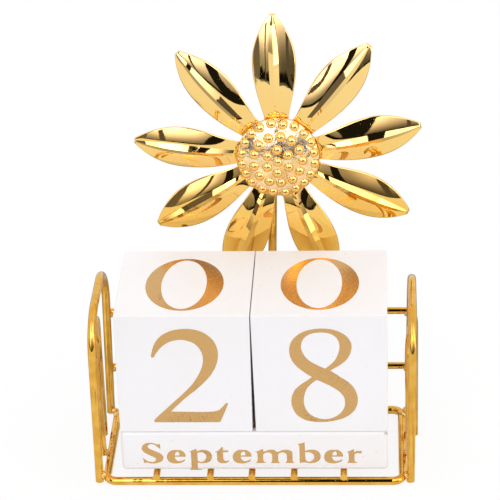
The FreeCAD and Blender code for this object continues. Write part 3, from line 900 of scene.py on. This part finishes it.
def foilRegion(outlines):
    # triangles of the outlines laid over each other, each kept where the last outline over it isn't a cut
    corners = []
    rings = []
    for text in outlines:
        points = outlinePoints(text)
        area = sum(a[0] * b[1] - b[0] * a[1] for a, b in zip(points, points[1:] + points[:1]))
        if area < 0:
            points.reverse()
        rings.append(list(range(len(corners), len(corners) + len(points))))
        corners += [Vector(point) for point in points]
    insideOnly = 1
    result = geometry.delaunay_2d_cdt(corners, [], rings, insideOnly, foilSheet["closest"], True)
    flat, faces, owners = result[0], result[2], result[5]
    kept = []
    for face, owner in zip(faces, owners):
        if owner and not outlines[max(owner)].startswith("cut"):
            kept.append(face)
    return flat, kept


def foilPiece(name, outlines, toFace, unit, body):
    flat, faces = foilRegion(outlines)
    work = bmesh.new()
    corners = [work.verts.new((point[0], point[1], 0)) for point in flat]
    for face in faces:
        try:
            work.faces.new([corners[k] for k in face])
        except ValueError:
            pass  # the same triangle twice
    bmesh.ops.delete(work, geom=[corner for corner in work.verts if not corner.link_faces], context="VERTS")
    made = bmesh.ops.extrude_face_region(work, geom=work.faces[:])
    top = {item for item in made["geom"] if isinstance(item, bmesh.types.BMVert)}
    for vertex in work.verts:
        if vertex not in top:
            vertex.co.z = -foilSheet["depth"] / unit
    bmesh.ops.recalc_face_normals(work, faces=work.faces[:])
    bmesh.ops.transform(work, matrix=toFace, verts=work.verts[:])
    addPiece(name, work, "foil", body, smooth=False)


# Each face of a block: its outward way and the way up of what is printed on it
faceWays = {
    "front": ((0, -1, 0), (0, 0, 1)), "back": ((0, 1, 0), (0, 0, 1)),
    "top": ((0, 0, 1), (0, 1, 0)), "bottom": ((0, 0, -1), (0, -1, 0)),
    "left": ((-1, 0, 0), (0, 0, 1)), "right": ((1, 0, 0), (0, 0, 1)),
}


def printOn(name, node, way, height, glyph, shiftX, shiftY):
    # a figure or letter, height mm high, set off from the middle of a face by the shifts
    width, outlines = glyph
    low, high = [Vector(corner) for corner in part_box(node)]
    out, up = [Vector(axis) for axis in faceWays[way]]
    right = up.cross(out)
    half = (high - low) / 2
    centre = (low + high) / 2 + Vector([out[k] * half[k] for k in range(3)]) + out * foilSheet["proud"] * mm
    unit = height / 100
    corner = centre + right * (shiftX - width * unit / 2) * mm + up * (shiftY - height / 2) * mm
    axes = Matrix((right * unit * mm, up * unit * mm, out * unit * mm)).transposed().to_4x4()
    foilPiece(name, outlines, Matrix.Translation(corner) @ axes, unit, node)


# Each face has its figure and how far that is off the middle, across and up, in mm
dayPrint = {
    "height": 40.4, "topHeight": 39.6,
    "tens_cube": {"front": ("2", 2.5, -0.5), "top": ("0", -0.2, -1.2), "right": ("1", 0, 0),
                  "left": ("3", 0, 0), "back": ("4", 0, 0), "bottom": ("5", 0, 0)},
    "units_cube": {"front": ("8", 1.5, -0.6), "top": ("0", 0.0, -0.9), "right": ("6", 0, 0),
                   "left": ("7", 0, 0), "back": ("1", 0, 0), "bottom": ("2", 0, 0)},
}

# Heights and shifts are in mm, the gap between letters in hundredths of the height
monthPrint = {
    "height": 9.0, "gap": 15.3, "rise": -0.6, "shift": -1.0,
    "front_month_bar": {"front": "September", "top": "October", "back": "November", "bottom": "December"},
    "middle_month_bar": {"front": "January", "top": "February", "back": "March", "bottom": "April"},
    "back_month_bar": {"front": "May", "top": "June", "back": "July", "bottom": "August"},
}

cubes = ("tens_cube", "units_cube")
bars = ("front_month_bar", "middle_month_bar", "back_month_bar")


def printWord(bar, way, word):
    gap = monthPrint["gap"]
    height = monthPrint["height"]
    total = sum(letters[letter][0] for letter in word) + gap * (len(word) - 1)
    start = 0
    for place, letter in enumerate(word, 1):
        width = letters[letter][0]
        middle = monthPrint["shift"] + (start + width / 2 - total / 2) * height / 100
        name = "letter_" + word.lower() + "_" + str(place)
        printOn(name, bar, way, height, letters[letter], middle, monthPrint["rise"])
        start += width + gap


def makePrint():
    for cube in cubes:
        for way, (digit, x, y) in dayPrint[cube].items():
            height = dayPrint["topHeight"] if way == "top" else dayPrint["height"]
            printOn("figure_" + cube + "_" + way, cube, way, height, figures[digit], x, y)
    for bar in bars:
        for way, word in monthPrint[bar].items():
            printWord(bar, way, word)
    print("figures and month names made")


materials = {
    "wireGold": material("platedWire", wireGold),
    "legGold": material("platedLeg", legGold),
    "flowerGold": material("pressedGold", flowerGold),
    "domeGold": material("bossedGold", domeGold),
    "solder": material("solderedJoint", solderGold),
    "paint": material("whitePaint", whitePaint),
    "foil": material("goldFoil", foil),
    "floor": material("paleFloor", whiteFloor),
}

for name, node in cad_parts.items():
    look = "wireGold"
    if name.endswith("_arch"):
        look = "legGold"
    elif name.endswith("_welds"):
        look = "solder"
    elif name in ("petal_plate", "seed_dome"):
        look = "flowerGold"
    elif name in cubes or name in bars:
        look = "paint"
    node.data.materials.clear()
    node.data.materials.append(materials[look])

makeCamera()
makeWorld()
makeStage()
makePetals()
makeCap()
makeBosses()
makeHub()
for node in ("rod_welds", "arch_welds", "rail_welds", "stem_welds"):
    makeBeads(node)
makeSolderRun()
print("solder made")
for cube in cubes:
    makeBlock(cube, blocks["cubeEdge"])
for bar in bars:
    makeBlock(bar, blocks["barEdge"])
print("blocks made")
makePrint()

bpy.context.scene.view_settings.view_transform = "Standard"
